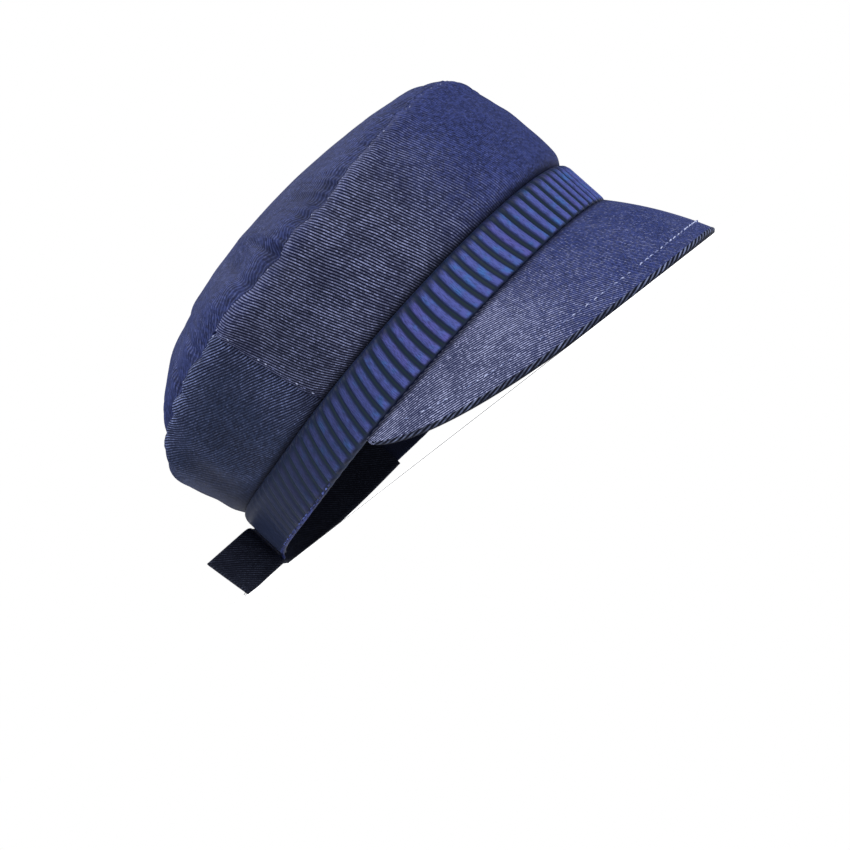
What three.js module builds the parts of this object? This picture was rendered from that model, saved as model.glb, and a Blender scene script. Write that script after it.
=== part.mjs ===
// Sailor cap: a soft denim crown on a ribbed band, a short dropped peak and a back strap.
// Millimetres and degrees, +Z up, the peak towards -Y. The cap stands by itself on its peak and strap.
import * as THREE from 'three';

// Band: an oval, measured over its ribs. Its lower edge rises a little from BACK_LIFT_ANGLE to its ends.
const BAND_LENGTH = 202;
const BAND_WIDTH = 164.4;
const BAND_HEIGHT = 22;
const BAND_WALL = 2;
const BAND_END_ANGLE = 150;
const BACK_LIFT = 3;
const BACK_LIFT_ANGLE = 105;
const RIB_PITCH = 5.4;
const RIB_RELIEF = 0.9;

// Crown: the wall swells past the band, and the top is a shallow dome
const CROWN_RISE = 75;
const CROWN_PUFF = 8;
const CROWN_WALL = 1.5;
const SIDE_SEAM_ANGLE = 91;
const SIDE_SEAM_LEAN = 2;
const TIP_CENTRE_BACK = 20;
const TIP_FULLNESS = 3.4;

// Peak: a crescent that drops steeply from the lower edge of the band
const PEAK_DEPTH = 45;
const PEAK_END_ANGLE = 89;
const PEAK_END_WIDTH = 3;
const PEAK_SLOPE_FRONT = 63;
const PEAK_SLOPE_SIDE = 66;
const PEAK_TAPER = 0.75;
const PEAK_CAMBER = 1.5;
const PEAK_COVER_WALL = 1.4;
const PEAK_LINING_WALL = 1.2;
const PEAK_LIP = 1.3;

// Strap: sewn inside the far end of the band, its tail free on the near side
const STRAP_WIDTH = 20;
const STRAP_DROP = 2.6;
const STRAP_THICKNESS = 2;
const STRAP_OVERLAP = 20;
const STRAP_TAIL = 26.5;
const STRAP_TAIL_TURN = 22;
const STRAP_END_SKEW = 3;

// Clearance between neighbouring pieces, and how far cloth is pressed flat where it rests
const GAP = 0.3;
const REST_FLAT = 0.8;

// How finely the cloth is divided
const CROWN_COLUMNS = 72;
const WALL_ROWS = 7;
const TIP_ROWS = 6;
const RIB_STEPS = 4;
const PEAK_COLUMNS = 44;
const PEAK_ROWS = 5;
const STRAP_COLUMNS = 26;

// Crown sections from the front (0) to the back (180), the same on both sides.
// swell, tuck and seamOut are shares of CROWN_PUFF, swellRise and seamRise shares of CROWN_RISE.
// tuck is how far the cloth is drawn in just above the band.
const CROWN_SECTIONS = [
  { angle: 0, swell: -0.02, swellRise: 0.339, tuck: 0, seamOut: -0.64, seamRise: 0.741 },
  { angle: 45, swell: 0.38, swellRise: 0.337, tuck: 0, seamOut: -0.1, seamRise: 0.669 },
  { angle: 90, swell: 0.56, swellRise: 0.327, tuck: 0, seamOut: 0.29, seamRise: 0.625 },
  { angle: 135, swell: 1.0, swellRise: 0.39, tuck: 0.36, seamOut: 0, seamRise: 0.62 },
  { angle: 180, swell: 0.9, swellRise: 0.44, tuck: 0.4, seamOut: 0.16, seamRise: 0.516 },
];

// Soft dents and puckers of the crown. level runs 0 at the band, 1 at the seam, 2 at the middle of the top.
// depth is a share of CROWN_PUFF.
const DENTS = [
  { angle: 55, level: 1.06, halfAngle: 13, halfLevel: 0.16, depth: 0.34 },
  { angle: 104, level: 0.45, halfAngle: 9, halfLevel: 0.35, depth: 0.15 },
  { angle: 126, level: 1.0, halfAngle: 5, halfLevel: 0.3, depth: 0.2 },
  { angle: 137, level: 1.0, halfAngle: 5, halfLevel: 0.3, depth: 0.22 },
  { angle: 147, level: 0.85, halfAngle: 6, halfLevel: 0.3, depth: 0.22 },
  { angle: 165, level: 0.6, halfAngle: 8, halfLevel: 0.4, depth: 0.22 },
  { angle: 196, level: 0.7, halfAngle: 8, halfLevel: 0.4, depth: 0.22 },
  { angle: 228, level: 1.0, halfAngle: 7, halfLevel: 0.3, depth: 0.2 },
  { angle: 300, level: 1.05, halfAngle: 12, halfLevel: 0.2, depth: 0.22 },
];

const HALF_LENGTH = BAND_LENGTH / 2;
const HALF_WIDTH = BAND_WIDTH / 2;
const UP = new THREE.Vector3(0, 0, 1);

// The tuck of the crown over the band is level * (1 - level) ** 3, scaled to reach 1 at a quarter of the wall
const TUCK_SCALE = 4 * (4 / 3) ** 3;

const rad = THREE.MathUtils.degToRad;

// The band's oval in plan: 0 is the front, 90 the wearer's right, 180 the back
function oval(angle, out = 0, height = 0) {
  const a = rad(angle);
  const base = new THREE.Vector3(-HALF_WIDTH * Math.sin(a), -HALF_LENGTH * Math.cos(a), height);
  return base.addScaledVector(ovalNormal(angle), out);
}

function ovalNormal(angle) {
  const a = rad(angle);
  return new THREE.Vector3(-Math.sin(a) / HALF_WIDTH, -Math.cos(a) / HALF_LENGTH, 0).normalize();
}

// How far round from the front a place is, 0 to 180 on either side
function fromFront(angle) {
  const turned = ((angle % 360) + 360) % 360;
  return Math.min(turned, 360 - turned);
}

// The rise of the rim towards the back
function backLift(angle) {
  return BACK_LIFT * THREE.MathUtils.smoothstep(fromFront(angle), BACK_LIFT_ANGLE, BAND_END_ANGLE);
}

// The angle that covers a given length of the oval at a place
function angleFor(length, angle) {
  const a = rad(angle);
  const speed = Math.hypot(HALF_WIDTH * Math.cos(a), HALF_LENGTH * Math.sin(a));
  return THREE.MathUtils.radToDeg(length / speed);
}

// A smooth value between the crown's sections, level at the front and the back
function section(angle, column) {
  const folded = fromFront(angle);
  const last = CROWN_SECTIONS.length - 1;
  const step = 180 / last;
  const at = Math.min(Math.floor(folded / step), last - 1);
  const value = (i) => CROWN_SECTIONS[i < 0 ? -i : i > last ? 2 * last - i : i][column];
  const [before, from, to, after] = [at - 1, at, at + 1, at + 2].map(value);
  const s = folded / step - at;
  const rise = (to - before) / 2;
  const fall = (after - from) / 2;
  return from + s * (rise + s * (3 * (to - from) - 2 * rise - fall + s * (rise + fall - 2 * (to - from))));
}

// The undented outer face of the crown
function crownForm(angle, level) {
  const band = oval(angle, 0, backLift(angle) + BAND_HEIGHT + GAP);
  const seamHeight = BAND_HEIGHT + CROWN_RISE * section(angle, 'seamRise');
  const seam = oval(angle, CROWN_PUFF * section(angle, 'seamOut'), seamHeight);
  if (level <= 1) {
    const swellHeight = BAND_HEIGHT + CROWN_RISE * section(angle, 'swellRise');
    const swell = oval(angle, CROWN_PUFF * section(angle, 'swell'), swellHeight);
    const tuck = CROWN_PUFF * section(angle, 'tuck') * TUCK_SCALE * level * (1 - level) ** 3;
    return band.multiplyScalar((1 - level) * (1 - 2 * level))
      .addScaledVector(swell, 4 * level * (1 - level))
      .addScaledVector(seam, level * (2 * level - 1))
      .addScaledVector(ovalNormal(angle), -tuck);
  }
  const inward = level - 1;
  const apex = new THREE.Vector3(0, TIP_CENTRE_BACK, BAND_HEIGHT + CROWN_RISE);
  const point = seam.clone().lerp(apex, inward);
  point.z = seamHeight + (apex.z - seamHeight) * (1 - (1 - inward) ** TIP_FULLNESS);
  return point;
}

function crownNormal(angle, level) {
  const low = Math.max(level - 0.01, level > 1 ? 1.001 : 0);
  const high = Math.min(level + 0.01, level < 1 ? 0.999 : 1.99);
  const along = crownForm(angle + 0.5, level).sub(crownForm(angle - 0.5, level));
  const upward = crownForm(angle, high).sub(crownForm(angle, low));
  return upward.cross(along).normalize();
}

function dentDepth(angle, level) {
  let depth = 0;
  for (const dent of DENTS) {
    const turn = ((angle - dent.angle + 540) % 360) - 180;
    const fade = Math.exp(-((turn / dent.halfAngle) ** 2) - ((level - dent.level) / dent.halfLevel) ** 2);
    depth += CROWN_PUFF * dent.depth * fade;
  }
  return depth;
}

// A point of the crown's cloth, a given depth in from its outer face. Both sides of the top seam
// share the direction half way between the wall and the top, so their walls meet without crossing.
function crownPoint(angle, level, depth, seamShift = 0) {
  const wallNormal = crownNormal(angle, Math.min(level, 0.99));
  const tipNormal = crownNormal(angle, Math.max(level, 1.01));
  let normal = level < 1 ? wallNormal : tipNormal;
  if (level === 0) normal = ovalNormal(angle);
  if (level === 1) normal = wallNormal.clone().add(tipNormal).normalize();
  const point = crownForm(angle, level);
  const fade = Math.min(1, level * 5);
  point.addScaledVector(normal, -depth - fade * dentDepth(angle, level));
  if (level === 1) {
    const along = crownForm(angle + 0.5, 1).sub(crownForm(angle - 0.5, 1)).normalize();
    point.addScaledVector(along.cross(normal), seamShift);
  }
  return point;
}

// A closed body from an outer and an inner grid of points, grid[row][column].
// Rows run the same way in both, wrap closes the columns in a ring, and poles close the last row.
function clothBody(outer, inner, { wrap = false, poles = null } = {}) {
  const positions = [];
  const triangles = [];
  const rows = outer.length;
  const columns = outer[0].length;
  for (const grid of [outer, inner]) {
    for (const row of grid) {
      for (const point of row) positions.push(point.x, point.y, point.z);
    }
  }
  const index = (side, row, column) => (side * rows + row) * columns + (column % columns);
  const quad = (a, b, c, d) => triangles.push(a, b, c, a, c, d);
  const spans = wrap ? columns : columns - 1;
  for (let column = 0; column < spans; column++) {
    const next = column + 1;
    for (let row = 0; row < rows - 1; row++) {
      quad(index(0, row, column), index(0, row, next), index(0, row + 1, next), index(0, row + 1, column));
      quad(index(1, row, column), index(1, row + 1, column), index(1, row + 1, next), index(1, row, next));
    }
    quad(index(0, 0, column), index(1, 0, column), index(1, 0, next), index(0, 0, next));
    if (!poles) {
      const top = rows - 1;
      quad(index(0, top, column), index(0, top, next), index(1, top, next), index(1, top, column));
    }
  }
  if (!wrap) {
    const end = columns - 1;
    for (let row = 0; row < rows - 1; row++) {
      quad(index(0, row, 0), index(0, row + 1, 0), index(1, row + 1, 0), index(1, row, 0));
      quad(index(0, row, end), index(1, row, end), index(1, row + 1, end), index(0, row + 1, end));
    }
  }
  if (poles) {
    for (const [side, pole] of poles.entries()) {
      const tip = positions.length / 3;
      positions.push(pole.x, pole.y, pole.z);
      for (let column = 0; column < columns; column++) {
        const a = index(side, rows - 1, column);
        const b = index(side, rows - 1, column + 1);
        if (side === 0) triangles.push(a, b, tip);
        else triangles.push(b, a, tip);
      }
    }
  }
  const geometry = new THREE.BufferGeometry();
  geometry.setAttribute('position', new THREE.Float32BufferAttribute(positions, 3));
  geometry.setIndex(triangles);
  if (signedVolume(geometry) < 0) {
    geometry.setIndex(triangles.slice().reverse());
  }
  geometry.computeVertexNormals();
  return geometry;
}

function signedVolume(geometry) {
  const position = geometry.getAttribute('position');
  const index = geometry.getIndex();
  const corner = [new THREE.Vector3(), new THREE.Vector3(), new THREE.Vector3()];
  let volume = 0;
  for (let i = 0; i < index.count; i += 3) {
    corner.forEach((point, k) => point.fromBufferAttribute(position, index.getX(i + k)));
    volume += corner[0].dot(corner[1].clone().cross(corner[2])) / 6;
  }
  return volume;
}

// Two grids, outer and inner, of points given by a function of row, column and side
function grids(rows, columns, pointAt) {
  return [0, 1].map((side) => Array.from({ length: rows },
    (_, row) => Array.from({ length: columns }, (_, column) => pointAt(row, column, side))));
}

function crownTip() {
  const seamShift = GAP / 2;
  const [outer, inner] = grids(TIP_ROWS, CROWN_COLUMNS, (row, column, side) => {
    const level = 1 + (row / TIP_ROWS) ** 1.15;
    return crownPoint((360 * column) / CROWN_COLUMNS, level, side * CROWN_WALL, seamShift);
  });
  const apex = new THREE.Vector3(0, TIP_CENTRE_BACK, BAND_HEIGHT + CROWN_RISE);
  const poles = [apex, apex.clone().addScaledVector(UP, -CROWN_WALL)];
  return clothBody(outer, inner, { wrap: true, poles });
}

// A panel of the wall between the two side seams, about the front (0) or the back (180).
// The seams lean back as they rise.
function crownPanel(middle, reach, lean) {
  const spans = Math.round((CROWN_COLUMNS * reach) / 180);
  const seamShift = -GAP / 2;
  const [outer, inner] = grids(WALL_ROWS, spans + 1, (row, column, side) => {
    const level = row / (WALL_ROWS - 1);
    const halfSpan = reach + lean * (2 * level - 1) - angleFor(GAP / 2, reach);
    const angle = middle + halfSpan * ((2 * column) / spans - 1);
    return crownPoint(angle, level, side * CROWN_WALL, seamShift);
  });
  return clothBody(outer, inner);
}

// The band's ribs stand side by side all along it. Each is a rounded cord between two grooves.
function band() {
  const stops = ribStops();
  const [outer, inner] = grids(2, stops.length, (row, column, side) => {
    const { angle, out } = stops[column];
    const depth = side === 0 ? RIB_RELIEF * (out - 1) : -RIB_RELIEF - BAND_WALL;
    return oval(angle, depth, backLift(angle) + row * BAND_HEIGHT);
  });
  return clothBody(outer, inner);
}

function ribStops() {
  const quarter = Math.PI / 2;
  const reach = rad(BAND_END_ANGLE);
  const arc = new THREE.EllipseCurve(0, 0, HALF_WIDTH, HALF_LENGTH, quarter - reach, quarter + reach);
  arc.arcLengthDivisions = 720;
  const steps = RIB_STEPS * Math.round(arc.getLength() / RIB_PITCH);
  return Array.from({ length: steps + 1 }, (_, i) => ({
    angle: THREE.MathUtils.lerp(-BAND_END_ANGLE, BAND_END_ANGLE, arc.getUtoTmapping(i / steps)),
    out: Math.sin((Math.PI * (i % RIB_STEPS)) / RIB_STEPS) ** 0.7,
  }));
}

// Peak: width along the slope, slope, and a point at a distance down the slope and a depth into it
function peakWidth(angle) {
  const share = angle / PEAK_END_ANGLE;
  return Math.max(PEAK_DEPTH * (1 - share * share) ** PEAK_TAPER, PEAK_END_WIDTH);
}

function peakPoint(angle, share, depth, inset = 0) {
  const slope = rad(THREE.MathUtils.lerp(PEAK_SLOPE_FRONT, PEAK_SLOPE_SIDE, Math.abs(angle) / PEAK_END_ANGLE));
  const outward = ovalNormal(angle);
  const down = outward.clone().multiplyScalar(Math.cos(slope)).addScaledVector(UP, -Math.sin(slope));
  const facing = outward.clone().multiplyScalar(Math.sin(slope)).addScaledVector(UP, Math.cos(slope));
  const root = (GAP - depth * Math.cos(slope)) / Math.sin(slope);
  const width = peakWidth(angle) - inset;
  const camber = 4 * PEAK_CAMBER * share * (1 - share) * (width / PEAK_DEPTH);
  return oval(angle)
    .addScaledVector(down, THREE.MathUtils.lerp(root, width, share))
    .addScaledVector(facing, camber - depth);
}

function peakAngle(column, endWidth) {
  const share = Math.sqrt(1 - (endWidth / PEAK_DEPTH) ** (1 / PEAK_TAPER));
  const reach = (2 * column) / PEAK_COLUMNS - 1;
  return PEAK_END_ANGLE * share * Math.sin((Math.PI / 2) * reach);
}

// The cover runs down the slope and ends in a lip as deep as the whole peak
function peakUpper() {
  const full = PEAK_COVER_WALL + GAP + PEAK_LINING_WALL;
  const [outer, inner] = grids(PEAK_ROWS + 2, PEAK_COLUMNS + 1, (row, column, side) => {
    const angle = peakAngle(column, PEAK_END_WIDTH);
    const share = Math.min(row / PEAK_ROWS, 1);
    const lip = row > PEAK_ROWS;
    if (side === 0) return peakPoint(angle, share, lip ? full : 0);
    return peakPoint(angle, share, lip ? full : PEAK_COVER_WALL, share * PEAK_LIP);
  });
  return clothBody(outer, inner);
}

function peakUnder() {
  const top = PEAK_COVER_WALL + GAP;
  const edge = PEAK_LIP + GAP;
  const [outer, inner] = grids(PEAK_ROWS + 1, PEAK_COLUMNS + 1, (row, column, side) => {
    const angle = peakAngle(column, PEAK_END_WIDTH + 2 * edge);
    return peakPoint(angle, row / PEAK_ROWS, top + side * PEAK_LINING_WALL, edge);
  });
  return clothBody(outer, inner);
}

// The strap's middle line in plan: inside the far end of the band, across the opening,
// out past the near end of the band and straight on as a free tail
function strapLine() {
  const inside = -(RIB_RELIEF + BAND_WALL + GAP + STRAP_THICKNESS / 2);
  const outside = GAP + STRAP_THICKNESS / 2;
  const farEnd = 360 - BAND_END_ANGLE;
  const start = farEnd + angleFor(STRAP_OVERLAP, farEnd);
  const exit = BAND_END_ANGLE + angleFor(STRAP_THICKNESS, BAND_END_ANGLE);
  const points = [];
  const stations = 8;
  for (let i = 0; i <= stations; i++) {
    const angle = THREE.MathUtils.lerp(start, exit, i / stations);
    const across = THREE.MathUtils.clamp((farEnd - angle) / (farEnd - exit), 0, 1);
    const out = THREE.MathUtils.lerp(inside, outside, THREE.MathUtils.smoothstep(across, 0, 1));
    points.push(oval(angle, out));
  }
  const turn = rad(STRAP_TAIL_TURN);
  const tail = new THREE.Vector3(-Math.cos(turn), Math.sin(turn), 0);
  const last = points[stations];
  for (const share of [0.5, 1]) points.push(last.clone().addScaledVector(tail, share * STRAP_TAIL));
  return new THREE.CatmullRomCurve3(points, false, 'centripetal');
}

function backStrap() {
  const line = strapLine();
  const length = line.getLength();
  const [outer, inner] = grids(2, STRAP_COLUMNS + 1, (row, column, side) => {
    const share = column / STRAP_COLUMNS;
    const along = line.getTangentAt(share);
    const across = along.clone().cross(UP).normalize();
    const tail = THREE.MathUtils.clamp(1 - ((1 - share) * length) / STRAP_TAIL, 0, 1);
    return line.getPointAt(share)
      .addScaledVector(across, STRAP_THICKNESS * (0.5 - side))
      .addScaledVector(along, tail * STRAP_END_SKEW * (row - 0.5))
      .addScaledVector(UP, BACK_LIFT - STRAP_DROP + row * STRAP_WIDTH);
  });
  return clothBody(outer, inner);
}

// How far the cap tips back before its strap touches what its peak stands on
function restTilt(frontPieces, backPieces) {
  const lowest = (pieces, tilt) => {
    let low = Infinity;
    for (const piece of pieces) {
      const position = piece.getAttribute('position');
      for (let i = 0; i < position.count; i++) {
        low = Math.min(low, position.getZ(i) * Math.cos(tilt) - position.getY(i) * Math.sin(tilt));
      }
    }
    return low;
  };
  let [level, steep] = [0, Math.PI / 4];
  for (let step = 0; step < 40; step++) {
    const tilt = (level + steep) / 2;
    if (lowest(frontPieces, tilt) < lowest(backPieces, tilt)) level = tilt;
    else steep = tilt;
  }
  return (level + steep) / 2;
}

// Stands the pieces on the floor, their box centred on the origin, and presses flat what touches it
function settle(pieces, tilt) {
  const box = new THREE.Box3();
  for (const piece of pieces) {
    piece.rotateX(-tilt);
    piece.computeBoundingBox();
    box.union(piece.boundingBox);
  }
  const middle = box.getCenter(new THREE.Vector3());
  for (const piece of pieces) {
    piece.translate(-middle.x, -middle.y, -box.min.z - REST_FLAT);
    const position = piece.getAttribute('position');
    for (let i = 0; i < position.count; i++) {
      if (position.getZ(i) < 0) position.setZ(i, 0);
    }
    piece.computeVertexNormals();
    piece.computeBoundingBox();
  }
}

const denim = { color: 0x1d2547, roughness: 0.85, metalness: 0 };
const ribbedSatin = { color: 0x2e3276, roughness: 0.45, metalness: 0 };
const liningCloth = { color: 0x0d1020, roughness: 0.9, metalness: 0 };
const strapCloth = { color: 0x12162b, roughness: 0.85, metalness: 0 };

const shapes = {
  crown_tip: [crownTip(), denim],
  crown_front_panel: [crownPanel(0, SIDE_SEAM_ANGLE, SIDE_SEAM_LEAN), denim],
  crown_back_panel: [crownPanel(180, 180 - SIDE_SEAM_ANGLE, -SIDE_SEAM_LEAN), denim],
  band: [band(), ribbedSatin],
  peak_upper: [peakUpper(), denim],
  peak_under: [peakUnder(), liningCloth],
  back_strap: [backStrap(), strapCloth],
};

const frontPieces = [shapes.peak_upper[0], shapes.peak_under[0]];
const backPieces = [shapes.back_strap[0], shapes.band[0]];
settle(Object.values(shapes).map(([geometry]) => geometry), restTilt(frontPieces, backPieces));

const cap = new THREE.Group();
for (const [name, [geometry, finish]] of Object.entries(shapes)) {
  const piece = new THREE.Mesh(geometry, new THREE.MeshStandardMaterial(finish));
  piece.name = name;
  cap.add(piece);
}

export default cap;
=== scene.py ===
# The looks of a sailor cap: a soft denim crown, a ribbed band, a short peak and a back strap.
# Shapes are worked out in the cap's own frame, in millimetres: the rim lies flat at height 0, the peak
# points to -Y, and angles run from the front (0) by the wearer's right (90) to the back (180).
import math

import bmesh
import bpy
import numpy as np
from mathutils import Matrix, Vector


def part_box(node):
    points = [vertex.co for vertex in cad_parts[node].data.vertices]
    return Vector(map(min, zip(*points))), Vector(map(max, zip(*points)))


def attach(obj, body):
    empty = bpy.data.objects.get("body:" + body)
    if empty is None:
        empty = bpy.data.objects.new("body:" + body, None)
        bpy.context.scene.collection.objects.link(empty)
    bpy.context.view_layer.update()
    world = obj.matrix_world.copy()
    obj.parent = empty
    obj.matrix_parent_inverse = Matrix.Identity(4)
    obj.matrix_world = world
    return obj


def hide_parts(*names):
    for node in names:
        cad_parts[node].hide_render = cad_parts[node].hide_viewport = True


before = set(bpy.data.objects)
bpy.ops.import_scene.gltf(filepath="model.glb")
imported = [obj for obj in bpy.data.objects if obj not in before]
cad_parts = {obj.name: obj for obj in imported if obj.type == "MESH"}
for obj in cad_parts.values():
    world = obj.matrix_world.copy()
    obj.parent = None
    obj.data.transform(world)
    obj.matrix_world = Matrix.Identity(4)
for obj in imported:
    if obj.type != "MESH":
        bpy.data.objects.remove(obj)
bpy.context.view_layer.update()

# Band
BAND_LENGTH = 202.0
BAND_WIDTH = 164.4
BAND_HEIGHT = 22.0
BAND_WALL = 2.0
BAND_END_ANGLE = 150.0
BACK_LIFT = 3.0
BACK_LIFT_ANGLE = 105.0
RIB_PITCH = 5.4
RIB_RELIEF = 0.9
RIB_SHARE = 0.58
RIB_BOW = 1.0
RIB_SLANT_FRONT = -2.4
RIB_SLANT_BACK = 9.5
RIB_STEPS = 12
PLAIN_END = 13.0

# Crown
CROWN_RISE = 75.0
CROWN_PUFF = 8.0
CROWN_WALL = 1.5
SIDE_SEAM_ANGLE = 91.0
SIDE_SEAM_LEAN = 2.0
HEM_TURN = 3.0
HEM_DROP = 0.25
SEAM_SINK = 0.9
LEVEL_SPAN = 50.0
TIP_CENTRE_BACK = 20.0
TIP_FULLNESS = 3.4

# Peak
PEAK_DEPTH = 45.0
PEAK_END_ANGLE = 89.0
PEAK_END_WIDTH = 3.0
PEAK_SLOPE_FRONT = 63.0
PEAK_SLOPE_SIDE = 66.0
PEAK_TAPER = 0.75
PEAK_CAMBER = 1.5
PEAK_COVER_WALL = 1.4
PEAK_LINING_WALL = 1.2
PEAK_LIP = 1.3
PEAK_HEM_WALL = 0.3
PEAK_STITCH_INSET = 7.5

# Strap
STRAP_WIDTH = 20.0
STRAP_DROP = 2.6
STRAP_THICKNESS = 2.0
STRAP_OVERLAP = 20.0
STRAP_TAIL = 26.5
STRAP_TAIL_TURN = 22.0
STRAP_END_SKEW = 3.0

GAP = 0.3

# Weave and stitches
TWILL_PITCH = 1.02
YARN_FLOAT = 0.95
SEAM_STITCH = 3.1
PEAK_STITCH = 3.4
BAND_STITCH = 2.7
PIPING_RADIUS = 0.75
PIPING_TURN = 16.0
LOOSE_THREAD_RADIUS = 0.13

# Camera: its place round the cap as in the photograph, raised until it clears the floor
CAMERA_AZIMUTH = -61.9
CAMERA_ELEVATION = -5.9
CAMERA_ROLL = 47.4
CAMERA_DISTANCE = 700.0
CAMERA_OFFSET = (8.1, 15.8)
CAMERA_LENS = 72.5

# Floor and light, in metres and watts. The floor fades out between two distances from the middle.
FLOOR_RADIUS = 0.6
FLOOR_FADE = (0.26, 0.55)
FLOOR_GLOW = 0.42
WORLD_LIGHT = 0.22
LIGHT_TARGET = (0, 0, 0.06)
LIGHTS = (
    ("key", (-0.7, -1.3, 1.2), 1.1, 21),
    ("top", (0.3, 0.3, 1.7), 1.8, 26.5),
    ("rim", (-1.0, 0.8, 1.1), 0.9, 8),
)

# Crown sections from the front to the back: angle, swell, swell rise, tuck, seam out, seam rise
CROWN_SECTIONS = np.array([
    (0, -0.02, 0.339, 0, -0.64, 0.741),
    (45, 0.38, 0.337, 0, -0.1, 0.669),
    (90, 0.56, 0.327, 0, 0.29, 0.625),
    (135, 1.0, 0.39, 0.36, 0, 0.62),
    (180, 0.9, 0.44, 0.4, 0.16, 0.516),
])
SWELL, SWELL_RISE, TUCK, SEAM_OUT, SEAM_RISE = 1, 2, 3, 4, 5

# Soft dents of the crown: angle, level, half angle, half level, depth as a share of the puff.
# Level runs 0 at the band, 1 at the top seam, 2 at the middle of the top.
DENTS = (
    (55, 1.06, 13, 0.16, 0.34),
    (104, 0.45, 9, 0.35, 0.15),
    (126, 1.0, 5, 0.3, 0.2),
    (137, 1.0, 5, 0.3, 0.22),
    (147, 0.85, 6, 0.3, 0.22),
    (165, 0.6, 8, 0.4, 0.22),
    (196, 0.7, 8, 0.4, 0.22),
    (228, 1.0, 7, 0.3, 0.2),
    (300, 1.05, 12, 0.2, 0.22),
)

# Angles where the top seam is pulled in sharply
SEAM_NOTCHES = (22, 61, 72, 101, 113, 121, 130, 141, 151, 163,
                177, 189, 204, 219, 233, 246, 268, 291, 318, 341)

# Threads left at the strap's cut end: their place as a share of its width, and their length
LOOSE_THREADS = ((0.04, 4.6), (0.07, 2.6), (0.2, 1.0), (0.38, 1.3), (0.55, 0.9), (0.74, 1.4), (0.93, 1.1))

HALF_LENGTH = BAND_LENGTH / 2
HALF_WIDTH = BAND_WIDTH / 2
UP = np.array((0.0, 0.0, 1.0))
TUCK_SCALE = 4 * (4 / 3) ** 3


def unit(v):
    return v / np.maximum(np.linalg.norm(v, axis=-1, keepdims=True), 1e-12)


def smoothstep(x, low, high):
    s = np.clip((x - low) / (high - low), 0, 1)
    return s * s * (3 - 2 * s)


def turn_between(angle, at):
    return np.mod(angle - at + 540, 360) - 180


def run_along(path):
    """The distance along a path of points, from its start to each point."""
    steps = np.linalg.norm(np.diff(path, axis=0), axis=-1)
    return np.concatenate([[0], np.cumsum(steps)])


def value_noise(x, y, seed, period=64):
    """Smooth noise between -1 and 1 on a unit lattice that repeats every period in x."""
    table = np.random.default_rng(seed).uniform(-1, 1, (period, 64))
    x0 = np.floor(x).astype(int)
    y0 = np.floor(y).astype(int)
    fx, fy = x - x0, y - y0
    fx, fy = fx * fx * (3 - 2 * fx), fy * fy * (3 - 2 * fy)
    near = table[x0 % period, y0 % 64] * (1 - fx) + table[(x0 + 1) % period, y0 % 64] * fx
    far = table[x0 % period, (y0 + 1) % 64] * (1 - fx) + table[(x0 + 1) % period, (y0 + 1) % 64] * fx
    return near * (1 - fy) + far * fy


# The band's oval

def oval_normal(angle):
    a = np.radians(angle)
    return unit(np.stack([-np.sin(a) / HALF_WIDTH, -np.cos(a) / HALF_LENGTH, 0 * a], -1))


def oval(angle, out=0.0, height=0.0):
    """A point on the outside of the ribs, moved outwards and up."""
    a = np.radians(angle)
    base = np.stack([-HALF_WIDTH * np.sin(a), -HALF_LENGTH * np.cos(a), height + 0 * a], -1)
    return base + (np.asarray(out) + 0 * a)[..., None] * oval_normal(angle)


ARC_ANGLES = np.linspace(-360, 360, 5761)
ARC_LENGTHS = run_along(oval(ARC_ANGLES))
ARC_LENGTHS -= ARC_LENGTHS[len(ARC_ANGLES) // 2]


def arc_length(angle):
    return np.interp(angle, ARC_ANGLES, ARC_LENGTHS)


def arc_angle(length):
    return np.interp(length, ARC_LENGTHS, ARC_ANGLES)


def from_front(angle):
    turned = np.mod(angle, 360)
    return np.minimum(turned, 360 - turned)


def back_lift(angle):
    return BACK_LIFT * smoothstep(from_front(angle), BACK_LIFT_ANGLE, BAND_END_ANGLE)


# The crown's form

def section(angle, column):
    """A value of the crown's sections, carried smoothly from one section to the next."""
    folded = from_front(angle)
    last = len(CROWN_SECTIONS) - 1
    step = 180 / last
    at = np.minimum(np.floor(folded / step).astype(int), last - 1)

    def value(i):
        i = np.abs(i)
        return CROWN_SECTIONS[np.where(i > last, 2 * last - i, i), column]

    before, low, high, after = value(at - 1), value(at), value(at + 1), value(at + 2)
    s = folded / step - at
    rise, fall = (high - before) / 2, (after - low) / 2
    return low + s * (rise + s * (3 * (high - low) - 2 * rise - fall + s * (rise + fall - 2 * (high - low))))


def crown_form(angle, level):
    """The plain form of the crown: the wall from the band up to the seam, then the top."""
    angle, level = np.broadcast_arrays(np.asarray(angle, float), np.asarray(level, float))
    l = np.minimum(level, 1)[..., None]
    band = oval(angle, 0, back_lift(angle) + BAND_HEIGHT + GAP)
    seam_height = BAND_HEIGHT + CROWN_RISE * section(angle, SEAM_RISE)
    seam = oval(angle, CROWN_PUFF * section(angle, SEAM_OUT), seam_height)
    swell_height = BAND_HEIGHT + CROWN_RISE * section(angle, SWELL_RISE)
    swell = oval(angle, CROWN_PUFF * section(angle, SWELL), swell_height)
    tuck = (CROWN_PUFF * section(angle, TUCK))[..., None] * TUCK_SCALE * l * (1 - l) ** 3
    wall = band * (1 - l) * (1 - 2 * l) + swell * 4 * l * (1 - l) + seam * l * (2 * l - 1)
    wall = wall - tuck * oval_normal(angle)
    inward = np.maximum(level - 1, 0)
    apex = np.array((0, TIP_CENTRE_BACK, BAND_HEIGHT + CROWN_RISE))
    top = seam + (apex - seam) * inward[..., None]
    top[..., 2] = seam_height + (apex[2] - seam_height) * (1 - (1 - inward) ** TIP_FULLNESS)
    return np.where(level[..., None] <= 1, wall, top)


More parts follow.
